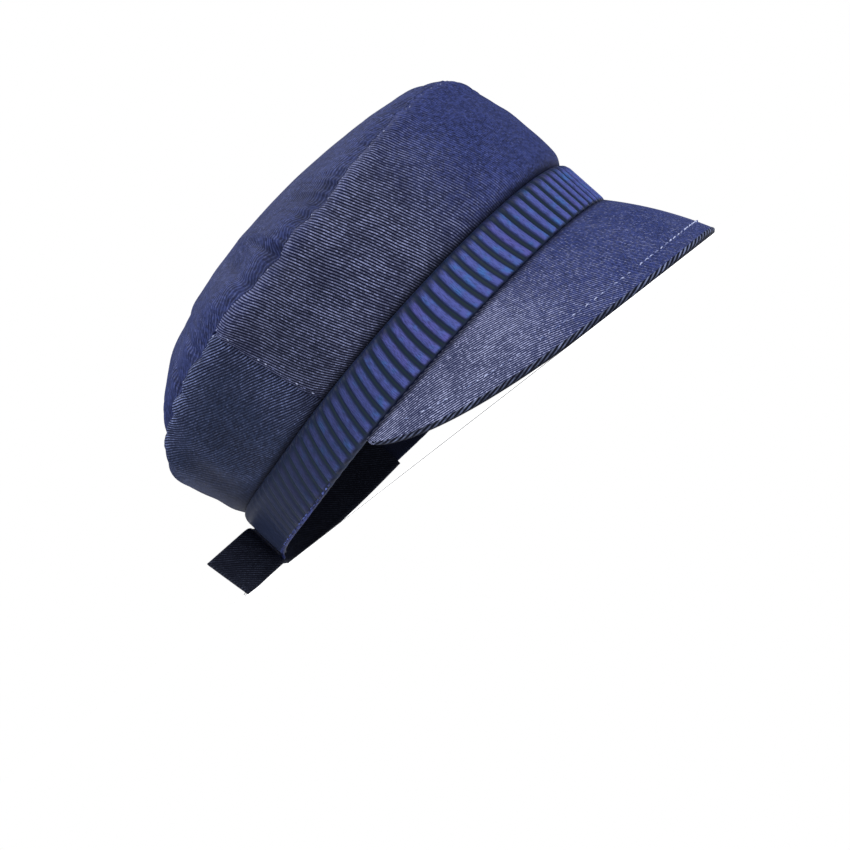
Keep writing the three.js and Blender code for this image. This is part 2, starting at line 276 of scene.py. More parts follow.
def crown_normal(angle, level):
    low = np.maximum(level - 0.01, np.where(level > 1, 1.001, 0))
    high = np.minimum(level + 0.01, np.where(level < 1, 0.999, 1.99))
    along = crown_form(angle + 0.5, level) - crown_form(angle - 0.5, level)
    upward = crown_form(angle, high) - crown_form(angle, low)
    return unit(np.cross(upward, along))


def back_folds(angle, level):
    return value_noise(angle / 7.5, level * 1.1 + 0.2, 8, 48)


def crown_relief(angle, level):
    """How far the cloth stands in or out from the plain form: dents, slack and puckers at the seams."""
    relief = np.zeros(np.broadcast(angle, level).shape)
    for at, height, half_angle, half_level, depth in DENTS:
        turn = turn_between(angle, at)
        fade = np.exp(-(turn / half_angle) ** 2 - ((level - height) / half_level) ** 2)
        relief = relief - CROWN_PUFF * depth * fade
    relief = relief + 0.55 * value_noise(angle / 12, level * 3.2, 3, 30)
    relief = relief + 0.3 * value_noise(angle / 5, level * 6.5, 5, 72)
    for at in SEAM_NOTCHES:
        turn = turn_between(angle, at)
        relief = relief - 1.5 * np.exp(-(turn / 1.5) ** 2 - ((level - 1) / 0.17) ** 2)
    back = smoothstep(from_front(angle), 96, 112)
    folds = back_folds(angle, level)
    relief = relief + 2.1 * back * folds * (1 - smoothstep(level, 0.5, 0.98)) * smoothstep(level, 0, 0.12)
    slack = value_noise(angle / 9, level * 2.2, 14, 40) + 0.5 * value_noise(angle / 4, level * 3.0, 15, 90)
    relief = relief + (2.2 * slack * np.exp(-((level - 1.1) / 0.38) ** 2)
                       * smoothstep(from_front(angle), 25, 60))
    form = crown_form(angle, level)
    flat_slack = value_noise(form[..., 0] / 24 + 20, form[..., 1] / 31 + 20, 17) * 0.9
    flat_slack = flat_slack + value_noise(form[..., 0] / 9 + 20, form[..., 1] / 12 + 20, 18) * 0.25
    middle = smoothstep(level, 1.12, 1.55)
    relief = relief * (1 - middle) + flat_slack * middle
    seam = np.abs(level - 1) * LEVEL_SPAN
    pucker = value_noise(angle / 1.25, level * 9, 11, 288)
    relief = relief + 0.42 * pucker * np.exp(-(seam / 7) ** 2)
    relief = relief + 0.8 * np.exp(-((seam - 4.2) / 3) ** 2) - 0.9 * np.exp(-(seam / 1.5) ** 2)
    return relief * np.minimum(1, level * 5)


def crown_point(angle, level, depth, seam_shift=0.0):
    """A point at a depth in the crown's cloth. Points on the top seam are shifted along the cloth."""
    wall_normal = crown_normal(angle, np.minimum(level, 0.99))
    tip_normal = crown_normal(angle, np.maximum(level, 1.01))
    normal = np.where((level < 1)[..., None], wall_normal, tip_normal)
    bend = np.exp(-(np.abs(level - 1) * LEVEL_SPAN / 2.0) ** 2)[..., None]
    normal = unit(normal * (1 - bend) + unit(wall_normal + tip_normal) * bend)
    normal = np.where((level == 0)[..., None], oval_normal(angle), normal)
    point = crown_form(angle, level) + normal * (crown_relief(angle, level) - depth)[..., None]
    along = unit(crown_form(angle + 0.5, level) - crown_form(angle - 0.5, level))
    shift = np.where(level == 1, seam_shift, 0)[..., None]
    return point + np.cross(along, normal) * shift


# The place of the cap in the world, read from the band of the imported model

def resting_place():
    """The cap's own frame as it stands in the world, from the front of the band."""
    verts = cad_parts["band"].data.vertices
    low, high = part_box("band")
    middle = (low.x + high.x) / 2
    on_plane = [v.co.copy() for v in verts if abs(v.co.x - middle) < 2e-4 and v.co.y < 0]
    bottom = min(on_plane, key=lambda p: p.z)
    top = max(on_plane, key=lambda p: p.y)
    up = (top - bottom)
    up.x = 0
    up.normalize()
    back = Vector((0, up.z, -up.y))
    inner = HALF_LENGTH - RIB_RELIEF - BAND_WALL
    origin = bottom + back * inner / 1000
    origin.x = middle
    return Matrix((
        (1, 0, 0, origin.x),
        (0, back.y, up.y, origin.y),
        (0, back.z, up.z, origin.z),
        (0, 0, 0, 1),
    ))


PLACE = np.array(resting_place())


def to_world(points):
    world = (points / 1000) @ PLACE[:3, :3].T + PLACE[:3, 3]
    world[..., 2] = np.maximum(world[..., 2], 0)
    return world


# Meshes

def make_object(name, points, faces, weave, materials, slots=None, merge=0.0, painted_shading=None):
    mesh = bpy.data.meshes.new(name)
    mesh.from_pydata(to_world(points).tolist(), [], faces)
    painted_shading = np.zeros_like(weave) if painted_shading is None else painted_shading
    # the second attribute carries light and shade painted into the colour
    for title, values in (("weave", weave), ("painted_shading", painted_shading)):
        layer = mesh.attributes.new(title, "FLOAT_VECTOR", "POINT")
        layer.data.foreach_set("vector", np.ascontiguousarray(values, np.float32).ravel())
    for material in materials:
        mesh.materials.append(material)
    if slots is not None:
        mesh.polygons.foreach_set("material_index", slots)
    form = bmesh.new()
    form.from_mesh(mesh)
    if merge:
        bmesh.ops.remove_doubles(form, verts=form.verts, dist=merge)
    bmesh.ops.recalc_face_normals(form, faces=form.faces)
    for face in form.faces:
        face.smooth = True
    form.to_mesh(mesh)
    form.free()
    made = bpy.data.objects.new(name, mesh)
    bpy.context.scene.collection.objects.link(made)
    return made


def shell(name, outer, inner, weave, materials, wrap=False, pole=False, painted_shading=None):
    """A closed sheet of cloth with rounded rims, from grids of points[row][column].

    weave holds each point's place on the flat cloth. The other per-point values hold light and shade painted
    into the colour: how far its lines give way to a plain tone (painted sheen at the fronts of the crown and
    peak and on the top, painted shade at the low back), its painted shade, and its painted highlight along
    the top seam."""
    rows, columns = outer.shape[:2]
    painted_shading = np.zeros_like(weave) if painted_shading is None else painted_shading

    def rim(i, beside):
        middle = (outer[i] + inner[i]) / 2
        beyond = unit(outer[i] - outer[beside] + inner[i] - inner[beside])
        thick = np.linalg.norm(outer[i] - inner[i], axis=-1, keepdims=True)
        return middle + beyond * thick * 0.35

    ring = [*outer, rim(-1, -2), *inner[::-1], rim(0, 1)]
    both = np.concatenate([weave, painted_shading], -1)
    thread = [*both, both[-1], *both[::-1], both[0]]
    if pole:
        ring[rows] = (outer[-1] + inner[-1]) / 2
    ring, thread = np.array(ring), np.array(thread)
    if not wrap:
        partner = np.array([*range(2 * rows, rows, -1), rows, *range(rows - 1, -1, -1), 2 * rows + 1])
        centre = (ring + ring[partner]) / 2
        thick = np.linalg.norm(outer - inner, axis=-1).mean()
        ends = []
        for i, beside in ((0, 1), (-1, -2)):
            beyond = unit(centre[:, i] - centre[:, beside])
            ends.append(centre[:, i] + (ring[:, i] - centre[:, i]) * 0.45 + beyond * thick * 0.3)
        ring = np.concatenate([ends[0][:, None], ring, ends[1][:, None]], 1)
        thread = np.concatenate([thread[:, :1], thread, thread[:, -1:]], 1)
        columns += 2
    count = len(ring)
    faces, slots = [], []
    spans = columns if wrap else columns - 1
    for k in range(count):
        if pole and k in (rows - 1, rows):
            continue
        for j in range(spans):
            n = (j + 1) % columns
            m = (k + 1) % count
            faces.append((k * columns + j, k * columns + n, m * columns + n, m * columns + j))
            slots.append(1 if rows <= k < 2 * rows + 1 and len(materials) > 1 else 0)
    if not wrap:
        for j in (0, columns - 1):
            for i in range(rows - 1):
                faces.append(tuple(q * columns + j for q in (i, i + 1, 2 * rows - i - 1, 2 * rows - i)))
                slots.append(0)
            faces.append(tuple(q * columns + j for q in (rows - 1, rows, rows + 1)))
            faces.append(tuple(q * columns + j for q in (2 * rows, 2 * rows + 1, 0)))
            slots += [0, 0]
    merge = 1e-6 if pole else 0.0
    weave, painted_shading = thread.reshape(-1, 6)[:, :3], thread.reshape(-1, 6)[:, 3:]
    return make_object(name, ring.reshape(-1, 3), faces, weave, materials, slots, merge, painted_shading)


def stitches(name, path, normals, material, length, pitch, radius, seed, skip=0.0, lift=0.0, sides=6):
    """Small arched threads along a path of points, each sunk at its ends."""
    rng = np.random.default_rng(seed)
    run = run_along(path)
    verts, faces = [], []
    count = int(run[-1] / pitch)
    for i in range(count):
        if rng.random() < skip:
            continue
        start = (i + 0.5) * pitch + rng.uniform(-0.1, 0.1) * pitch
        size = length * rng.uniform(0.8, 1.15)
        at = start + size * np.linspace(-0.5, 0.5, 6)
        line = np.stack([np.interp(at, run, path[:, k]) for k in range(3)], -1)
        normal = unit(np.stack([np.interp(at, run, normals[:, k]) for k in range(3)], -1))
        arch = 1 - np.linspace(-1, 1, 6) ** 2
        line = line + normal * (lift + radius * (1.5 * arch - 1.0))[:, None]
        along = unit(np.gradient(line, axis=0))
        side = unit(np.cross(along, normal))
        lean = rng.uniform(-0.12, 0.12) * size
        line = line + side * (lean * np.linspace(-0.5, 0.5, 6))[:, None]
        thick = radius * rng.uniform(0.8, 1.2) * (0.55 + 0.45 * arch)
        base = len(verts)
        for p, s, n, r in zip(line, side, normal, thick):
            for turn in np.arange(sides) * 2 * np.pi / sides:
                verts.append(p + s * r * np.cos(turn) + n * r * np.sin(turn))
        for row in range(5):
            for k in range(sides):
                a, b = base + row * sides + k, base + row * sides + (k + 1) % sides
                faces.append((a, b, b + sides, a + sides))
        faces.append(tuple(base + k for k in range(sides)))
        faces.append(tuple(base + 5 * sides + k for k in range(sides)))
    verts = np.array(verts)
    return make_object(name, verts, faces, verts, [material])


def tube(name, path, radius, material, sides=8):
    """A thread or piping of round section along a path."""
    path = np.asarray(path, float)
    along = unit(np.gradient(path, axis=0))
    helper = unit(np.cross(along, UP) + 1e-6)
    other = unit(np.cross(along, helper))
    radius = np.broadcast_to(np.asarray(radius, float), (len(path),))
    turns = np.arange(sides) * 2 * np.pi / sides
    rings = [p + r * (np.cos(turns)[:, None] * h + np.sin(turns)[:, None] * o)
             for p, h, o, r in zip(path, helper, other, radius)]
    faces = []
    for i in range(len(path) - 1):
        for k in range(sides):
            a, b = i * sides + k, i * sides + (k + 1) % sides
            faces.append((a, b, b + sides, a + sides))
    faces.append(tuple(range(sides)))
    faces.append(tuple((len(path) - 1) * sides + k for k in range(sides)))
    verts = np.concatenate(rings)
    run = run_along(path)
    weave = np.stack([np.repeat(run, sides), np.tile(turns, len(path)), np.zeros(len(verts))], -1)
    return make_object(name, verts, faces, weave, [material])


# Materials

class Graph:
    """A material and short ways to add nodes to it."""

    def __init__(self, name):
        self.material = bpy.data.materials.new(name)
        self.material.use_nodes = True
        self.tree = self.material.node_tree
        self.tree.nodes.clear()
        self.shader = self.add("ShaderNodeBsdfPrincipled")
        out = self.add("ShaderNodeOutputMaterial")
        self.tree.links.new(self.shader.outputs[0], out.inputs[0])

    def add(self, kind, **settings):
        node = self.tree.nodes.new(kind)
        for key, value in settings.items():
            setattr(node, key, value)
        return node

    def put(self, socket, value):
        if isinstance(value, bpy.types.NodeSocket):
            self.tree.links.new(value, socket)
        elif isinstance(value, (tuple, list)) and len(value) == 3 and socket.type == "RGBA":
            socket.default_value = (*value, 1)
        else:
            socket.default_value = value

    def math(self, operation, *values):
        node = self.add("ShaderNodeMath", operation=operation)
        for socket, value in zip(node.inputs, values):
            self.put(socket, value)
        return node.outputs[0]

    def steps(self, value, low, high, start=0.0, end=1.0):
        node = self.add("ShaderNodeMapRange", interpolation_type="SMOOTHSTEP")
        for socket, item in zip(node.inputs, (value, low, high, start, end)):
            self.put(socket, item)
        return node.outputs[0]

    def mix(self, share, a, b):
        node = self.add("ShaderNodeMix", data_type="RGBA")
        for socket, value in ((node.inputs[0], share), (node.inputs[6], a), (node.inputs[7], b)):
            self.put(socket, value)
        return node.outputs[2]

    def join(self, x, y, z=0.0):
        node = self.add("ShaderNodeCombineXYZ")
        for socket, value in zip(node.inputs, (x, y, z)):
            self.put(socket, value)
        return node.outputs[0]

    def noise(self, vector, scale, detail=2.0, rough=0.5):
        node = self.add("ShaderNodeTexNoise")
        self.put(node.inputs["Vector"], vector)
        self.put(node.inputs["Scale"], scale)
        self.put(node.inputs["Detail"], detail)
        self.put(node.inputs["Roughness"], rough)
        return node.outputs[0]

    def random(self, vector):
        node = self.add("ShaderNodeTexWhiteNoise", noise_dimensions="3D")
        self.put(node.inputs["Vector"], vector)
        return node.outputs["Value"]

    def weave(self):
        """The cloth's own coordinates in millimetres, split in three."""
        at = self.add("ShaderNodeAttribute", attribute_type="GEOMETRY", attribute_name="weave")
        split = self.add("ShaderNodeSeparateXYZ")
        self.put(split.inputs[0], at.outputs["Vector"])
        return at.outputs["Vector"], split.outputs[0], split.outputs[1], split.outputs[2]

    def painted_shading(self):
        """Light and shade painted into the cloth's colour, all 0 to 1: how far its lines give way to a plain
        tone (painted sheen at the fronts and top, painted shade at the low back), its painted shade, and its
        painted highlight along the top seam.
        """
        at = self.add("ShaderNodeAttribute", attribute_type="GEOMETRY", attribute_name="painted_shading")
        split = self.add("ShaderNodeSeparateXYZ")
        self.put(split.inputs[0], at.outputs["Vector"])
        return split.outputs[0], split.outputs[1], split.outputs[2]

    def finish(self, colour, rough, height=None, strength=0.5, depth=0.0002, **fixed):
        self.put(self.shader.inputs["Base Color"], colour)
        self.put(self.shader.inputs["Roughness"], rough)
        for key, value in fixed.items():
            self.put(self.shader.inputs[key.replace("_", " ")], value)
        if height is not None:
            bump = self.add("ShaderNodeBump")
            self.put(bump.inputs["Strength"], strength)
            self.put(bump.inputs["Distance"], depth)
            self.put(bump.inputs["Height"], height)
            self.put(self.shader.inputs["Normal"], bump.outputs[0])
        return self.material


def denim(name, line_angle, dark, light, contrast=1.0, speckle=0.16, sheen=0.05,
          mottle_tone=(0.028, 0.038, 0.14), pitch=TWILL_PITCH, float_length=YARN_FLOAT):
    """Twill: bright broken yarns in slanting lines over a dark ground."""
    g = Graph(name)
    vector, u, v, _ = g.weave()
    calm, shade, seam_highlight = g.painted_shading()
    turn = math.radians(line_angle)
    along = g.math("ADD", g.math("MULTIPLY", u, math.cos(turn)), g.math("MULTIPLY", v, math.sin(turn)))
    across = g.math("SUBTRACT", g.math("MULTIPLY", v, math.cos(turn)), g.math("MULTIPLY", u, math.sin(turn)))
    drift = g.math("MULTIPLY", g.math("SUBTRACT", g.noise(vector, 0.05, 2), 0.5), 1.6)
    lines = g.math("DIVIDE", g.math("ADD", across, drift), pitch)
    row = g.math("FLOOR", lines)
    ridge = g.steps(g.math("ABSOLUTE", g.math("SUBTRACT", g.math("FRACT", lines), 0.5)), 0.32, 0.05)
    float_place = g.math("ADD", g.math("DIVIDE", along, float_length), g.math("MULTIPLY", row, 0.37))
    yarn = g.random(g.join(g.math("FLOOR", float_place), row, 0.5))
    long_yarn = g.random(g.join(g.math("FLOOR", g.math("DIVIDE", along, 7.0)), row, 3.5))
    ends = g.math("ABSOLUTE", g.math("SUBTRACT", g.math("FRACT", float_place), 0.5))
    ends = g.steps(ends, 0.5, 0.3, 0.5, 1.0)
    glint = g.math("MULTIPLY", g.steps(yarn, 0.75, 1.0), speckle * 2.0)
    strength = g.math("ADD", g.math("MULTIPLY", yarn, 0.6), g.math("MULTIPLY", long_yarn, 0.3))
    strength = g.math("MULTIPLY", g.math("ADD", strength, 0.25), ends)
    strength = g.math("MULTIPLY", ridge, g.math("ADD", strength, glint))
    cloud = g.steps(g.noise(vector, 0.045, 4, 0.62), 0.3, 0.68, 0.55, 1.2)
    bright = g.math("MULTIPLY", strength, g.math("MULTIPLY", cloud, contrast))
    # painted highlight: the yarns are brighter along the ridge of the top seam
    bright = g.math("MULTIPLY", bright, g.math("ADD", 1.0, seam_highlight))
    woven = g.mix(bright, dark, light)
    fleck = g.steps(g.noise(vector, 1.25, 4, 0.8), 0.34, 0.66)
    cell = g.join(g.math("FLOOR", float_place), g.math("FLOOR", g.math("MULTIPLY", lines, 0.8)), 7.5)
    cells = g.steps(g.random(cell), 0.1, 1.0)
    fleck = g.math("ADD", g.math("MULTIPLY", fleck, 0.55), g.math("MULTIPLY", cells, 0.45))
    # Where calm is high the lines give way to this plain mottled tone: painted sheen at the front of the
    # crown, the front of the peak and the top; painted shade at the low back.
    mottled = g.mix(fleck, tuple(0.25 * c for c in mottle_tone), tuple(1.95 * c for c in mottle_tone))
    mottled = g.mix(g.math("MULTIPLY", glint, g.math("MULTIPLY", ridge, 0.28)), mottled, light)
    mottled = g.mix(g.math("MULTIPLY", g.math("SUBTRACT", 1.0, ridge), 0.25), mottled, dark)
    colour = g.mix(g.math("MULTIPLY", calm, 0.85), woven, mottled)
    # painted shade: the colour darkens towards near-black where shade is high
    colour = g.mix(shade, colour, (0.003, 0.004, 0.010))
    height = g.math("ADD", ridge, g.math("MULTIPLY", yarn, 0.4))
    return g.finish(colour, 0.65, height, 0.5, 0.00015, Sheen_Weight=sheen, Sheen_Roughness=0.4,
                    Sheen_Tint=(0.12, 0.22, 1.0), Specular_IOR_Level=0.08)


def ribbed(name):
    """Satin cords between dark grooves. weave: rib count, height on the band, plain end share."""
    g = Graph(name)
    vector, rib, height, plain = g.weave()
    _, shade, _ = g.painted_shading()
    number = g.math("FLOOR", rib)
    side = g.math("ABSOLUTE", g.math("SUBTRACT", g.math("FRACT", rib), 0.5))
    cord = g.steps(side, RIB_SHARE / 2 + 0.06, RIB_SHARE / 2 - 0.1)
    cord = g.math("MULTIPLY", cord, g.math("SUBTRACT", 1.0, plain))
    hue = g.random(g.join(number, 1.5, 0.5))
    patch = g.noise(g.join(g.math("MULTIPLY", rib, 1.1), g.math("MULTIPLY", height, 0.16), 0), 1.0, 2, 0.6)
    streak = g.noise(g.join(g.math("MULTIPLY", rib, 15.0), g.math("MULTIPLY", height, 0.45), 4), 1.0, 3, 0.65)
    blue = g.mix(g.steps(patch, 0.46, 0.72), (0.075, 0.094, 0.335), (0.052, 0.135, 0.40))
    blue = g.mix(g.math("MULTIPLY", g.steps(hue, 0.5, 0.9), 0.5), blue, (0.09, 0.08, 0.32))
    light = g.steps(streak, 0.3, 0.72, 0.45, 1.4)
    # painted shade: the cords darken at their top under the crown and at their foot above the peak
    ends = g.math("MULTIPLY", g.steps(height, 0.5, 2.0), g.steps(height, 21.0, 17.0, 0.12, 1.0))
    light = g.math("MULTIPLY", light, g.math("ADD", g.math("MULTIPLY", ends, 0.95), 0.05))
    # painted highlight on the cords' rounded lower ends
    light = g.math("MULTIPLY", light, g.steps(height, 5.5, 2.0, 1.0, 1.3))
    # painted shade towards the band's back ends
    light = g.math("MULTIPLY", light, g.math("SUBTRACT", 1.0, shade))
    blue = g.mix(light, (0.005, 0.008, 0.022), blue)
    olive = g.steps(side, 0.43, 0.5)
    # the olive line dims under the same painted shade at the cord ends
    olive = g.math("MULTIPLY", olive, g.math("MULTIPLY", ends, 0.9))
    ground = g.mix(olive, (0.009, 0.016, 0.042), (0.012, 0.028, 0.018))
    end_cloth = g.mix(g.noise(vector, 2.0, 2), (0.004, 0.007, 0.018), (0.010, 0.015, 0.037))
    ground = g.mix(plain, ground, end_cloth)
    colour = g.mix(cord, ground, blue)
    relief = g.math("MULTIPLY", streak, cord)
    return g.finish(colour, 0.42, relief, 0.35, 0.0002, Sheen_Weight=0.08, Sheen_Tint=(0.4, 0.5, 1.0),
                    Specular_IOR_Level=0.12)


def plain_cloth(name, dark, light, pitch=0.7, rough=0.8, sheen=0.1):
    """A fine plain weave of two near tones."""
    g = Graph(name)
    vector, u, v, _ = g.weave()
    over = g.math("SINE", g.math("MULTIPLY", u, 2 * math.pi / pitch))
    under = g.math("SINE", g.math("MULTIPLY", v, 2 * math.pi / pitch))
    check = g.math("MULTIPLY", over, under)
    tone = g.math("ADD", g.steps(check, -1, 1, 0, 0.55), g.steps(g.noise(vector, 0.3, 3), 0.3, 0.8, 0, 0.45))
    return g.finish(g.mix(tone, dark, light), rough, check, 0.4, 0.00015, Sheen_Weight=sheen,
                    Sheen_Tint=(0.5, 0.55, 0.9), Specular_IOR_Level=0.2)


def thread(name, dark, light, rough=0.45):
    """Twisted sewing thread, brighter in places."""
    g = Graph(name)
    vector, *_ = g.weave()
    twist = g.noise(vector, 3.0, 2)
    tone = g.steps(g.noise(vector, 0.6, 1), 0.35, 0.7)
    colour = g.mix(tone, dark, light)
    return g.finish(colour, rough, twist, 0.4, 0.0001, Sheen_Weight=0.05, Sheen_Tint=(0.4, 0.5, 1.0),
                    Specular_IOR_Level=0.2)


DARK_GROUND = (0.0015, 0.0028, 0.014)
LIGHT_YARN = (0.235, 0.262, 0.46)
wall_denim = denim("crown_front_denim", 72, DARK_GROUND, LIGHT_YARN, mottle_tone=(0.030, 0.042, 0.155))
# The back panel is a lit and shaded copy of the front's denim: its lighter yarns are painted light on the
# upper back, its darker plain tone painted shade on the low back.
back_denim = denim("crown_back_denim", 26, (0.0025, 0.0045, 0.017), (0.235, 0.285, 0.56),
                   contrast=0.85, speckle=0.2, mottle_tone=(0.021, 0.032, 0.074), pitch=1.0)
# The top is a shaded copy of the same denim: its yarns are darker than the walls', a painted shade.
tip_denim = denim("crown_tip_denim", 118, DARK_GROUND, (0.13, 0.16, 0.36),
                  contrast=0.9, speckle=0.3, sheen=0.08, mottle_tone=(0.021, 0.030, 0.108))
peak_denim = denim("peak_denim", -51, (0.007, 0.012, 0.055), (0.40, 0.43, 0.66), contrast=1.1,
                   speckle=0.45, sheen=0.06, mottle_tone=(0.016, 0.027, 0.125), pitch=0.84, float_length=0.7)
edge_denim = denim("peak_edge_denim", 20, (0.002, 0.003, 0.010), (0.16, 0.19, 0.32),
                   speckle=0.1, sheen=0.03, mottle_tone=(0.02, 0.03, 0.1), pitch=1.25, float_length=9.0)
strap_denim = denim("strap_twill", 40, (0.005, 0.006, 0.013), (0.05, 0.06, 0.10), contrast=0.5, speckle=0.1)
lining = plain_cloth("inner_cloth", (0.013, 0.016, 0.034), (0.04, 0.047, 0.085))
band_lining = plain_cloth("band_inner_cloth", (0.004, 0.006, 0.020), (0.012, 0.017, 0.05), 0.7, 0.85, 0.03)
peak_lining = plain_cloth("peak_lining_cloth", (0.003, 0.004, 0.008), (0.009, 0.011, 0.022), 0.9, 0.85, 0.05)
rib_satin = ribbed("ribbed_satin")
navy_thread = thread("navy_thread", (0.08, 0.10, 0.23), (0.46, 0.50, 0.72))
white_thread = thread("light_thread", (0.12, 0.15, 0.32), (0.50, 0.55, 0.80))
dark_thread = thread("dark_thread", (0.006, 0.007, 0.014), (0.03, 0.035, 0.06))
piping_thread = thread("piping_thread", (0.008, 0.011, 0.05), (0.035, 0.05, 0.20), 0.6)
blue_thread = thread("blue_thread", (0.015, 0.02, 0.09), (0.09, 0.13, 0.42))


# Crown: three pieces of cloth

def edge_levels(count, edge):
    """Levels from 0 to 1, closer together near the ends."""
    x = np.linspace(0, 1, count)
    return x + edge * np.sin(2 * np.pi * x) / (2 * np.pi) * -1


def crown_panel(name, middle, reach, lean, finish):
    columns, rows = 440, 52
    share = edge_levels(columns, 0.5)
    level = edge_levels(rows, 0.75)[:, None]
    half = reach + lean * (2 * level - 1)
    angle = middle + half * (2 * share[None, :] - 1)
    level = level + 0 * angle
    outer = crown_point(angle, level, np.zeros_like(angle), -GAP / 2)
    # the lower hem turns in over the band and the side edges sink into the seams
    hem = HEM_TURN * np.exp(-(level * LEVEL_SPAN / 3.2) ** 2)
    edge = np.minimum(share, 1 - share)[None, :] * 2 * arc_length(reach)
    sink = SEAM_SINK * np.exp(-(edge / 1.1) ** 2)
    outward = crown_normal(angle, np.clip(level, 0.01, 0.99))
    turned_in = (oval_normal(angle) * hem[..., None] + outward * sink[..., None]
                 + UP * (hem * HEM_DROP)[..., None])
    outer = outer - turned_in
    inner = crown_point(angle, level, np.full_like(angle, CROWN_WALL), -GAP / 2) - turned_in
    steps = np.linalg.norm(np.diff(outer, axis=0), axis=-1)
    rise = np.concatenate([[np.zeros(columns)], np.cumsum(steps, 0)])
    weave = np.stack([arc_length(angle), rise, 0 * rise], -1)
    turned = from_front(angle)
    # painted sheen: the lines give way to the plain mottled tone at the front and just below the top seam
    calm = np.maximum(1 - smoothstep(turned, 18, 52), 0.4 * smoothstep(level, 0.8, 1.0))
    # painted shade under the crown's turned-in hem, just above the band
    shade = 0.9 * (1 - smoothstep(rise, 0.5, 5.5))
    # painted shade on the front panel towards the side seams
    near_seam = 0.3 * smoothstep(turned, 60, 88) * (1 - smoothstep(level, 0.7, 1.0))
    shade = np.maximum(shade, near_seam)
    # painted shade in the folds of the low back, where the lines also give way to a plain dark tone
    low_back = smoothstep(turned, 86, 108) * (1 - smoothstep(level, 0.4, 0.95))
    shade = np.maximum(shade, np.clip(0.62 - 0.6 * back_folds(angle, level), 0.26, 0.85) * low_back)
    calm = np.maximum(calm, 0.9 * smoothstep(turned, 86, 106) * (1 - smoothstep(level, 0.6, 1.0)))
    # painted shade in the dents
    hollow = 0.3 * smoothstep(-crown_relief(angle, level), 0.4, 2.4) * smoothstep(level, 0.1, 0.3)
    shade = np.maximum(shade, hollow)
    # painted highlight in patches just below the top seam, where its ridge catches the light
    patches = 0.65 + 0.35 * value_noise(angle / 3.5, level * 4, 16, 103)
    seam_highlight = 0.75 * patches * np.exp(-((level - 0.92) / 0.055) ** 2) * smoothstep(turned, 20, 60)
    return shell(name, outer, inner, weave, [finish, lining], painted_shading=np.stack([calm, shade, seam_highlight], -1))


def crown_tip(name):
    columns, rows = 880, 60
    angle = np.linspace(0, 360, columns, endpoint=False)[None, :]
    level = 1 + np.linspace(0, 1, rows)[:, None] ** 1.5 + 0 * angle
    angle = angle + 0 * level
    outer = crown_point(angle, level, np.zeros_like(angle), GAP / 2)
    inner = crown_point(angle, level, np.full_like(angle, CROWN_WALL), GAP / 2)
    apex = np.array((0, TIP_CENTRE_BACK, BAND_HEIGHT + CROWN_RISE))
    outer[-1], inner[-1] = apex, apex - UP * CROWN_WALL
    weave = np.stack([outer[..., 0], outer[..., 1], 0 * level], -1)
    # painted sheen: the top's lines give way to the plain mottled tone, most near the seam
    calm = 0.55 + 0.4 * (1 - smoothstep(level, 1.0, 1.3))
    # painted shade in the dents near the top seam
    hollow = 0.35 * smoothstep(-crown_relief(angle, level), 0.4, 2.4) * (1 - smoothstep(level, 1.2, 1.6))
    # painted highlight along the top seam's ridge
    seam_highlight = 0.5 * np.exp(-((level - 1.05) / 0.05) ** 2)
    painted_shading = np.stack([calm, hollow, seam_highlight], -1)
    return shell(name, outer, inner, weave, [tip_denim, lining], wrap=True, pole=True, painted_shading=painted_shading)


front_cloth = crown_panel("crown_front_cloth", 0, SIDE_SEAM_ANGLE, SIDE_SEAM_LEAN, wall_denim)
back_cloth = crown_panel("crown_back_cloth", 180, 180 - SIDE_SEAM_ANGLE, -SIDE_SEAM_LEAN, back_denim)
tip_cloth = crown_tip("crown_tip_cloth")


# Band

def ribbed_band(name):
    reach = arc_length(BAND_END_ANGLE)
    ribs = round(2 * reach / RIB_PITCH)
    columns, rows = ribs * RIB_STEPS + 1, 30
    at = np.linspace(-reach, reach, columns)[None, :]
    height = BAND_HEIGHT * edge_levels(rows, 0.6)[:, None]
    share = height / BAND_HEIGHT
    side = np.sign(at) * smoothstep(np.abs(at), 0, 60)
    bow = RIB_BOW * 4 * share * (1 - share) * side
    slant = RIB_SLANT_FRONT + (RIB_SLANT_BACK - RIB_SLANT_FRONT) * smoothstep(np.abs(at), 40, 190)
    bow = bow + slant * (0.5 - share) * side
    bow = bow * smoothstep(reach - np.abs(at), 0, 14)
    angle = arc_angle(at + bow)
    phase = (at / (2 * reach) + 0.5) * ribs + 0 * share
    from_middle = np.abs(np.mod(phase, 1) - 0.5) * 2 / RIB_SHARE
    cord = np.sqrt(np.clip(1 - from_middle ** 2, 0, 1))
    plain = 1 - smoothstep(reach - np.abs(at), PLAIN_END, PLAIN_END + 72) + 0 * share
    round_low = np.sqrt(1 - (1 - np.clip(height / 2.2, 0, 1)) ** 2)
    round_high = np.sqrt(1 - (1 - np.clip((BAND_HEIGHT - height) / 3.6, 0, 1)) ** 2)
    full = cord * round_low * round_high
    out = RIB_RELIEF * (full * (1 - plain) + 0.6 * plain - 1)
    out = out - 1.6 * (1 - round_high) - 0.6 * (1 - round_low)
    lift = back_lift(angle)
    outer = oval(angle, out, height + lift)
    inner = oval(angle, -RIB_RELIEF - BAND_WALL, height + lift)
    weave = np.stack([phase, height + 0 * phase, plain], -1)
    # painted shade growing towards the band's back ends
    shade = 0.88 * (1 - smoothstep(reach - np.abs(at), 50, 185)) + 0 * share
    painted_shading = np.stack([0 * shade, shade, 0 * shade], -1)
    return shell(name, outer, inner, weave, [rib_satin, band_lining], painted_shading=painted_shading)


band_ribs = ribbed_band("band_ribs")


# Peak

def peak_width(angle):
    share = angle / PEAK_END_ANGLE
    return np.maximum(PEAK_DEPTH * np.clip(1 - share * share, 0, 1) ** PEAK_TAPER, PEAK_END_WIDTH)


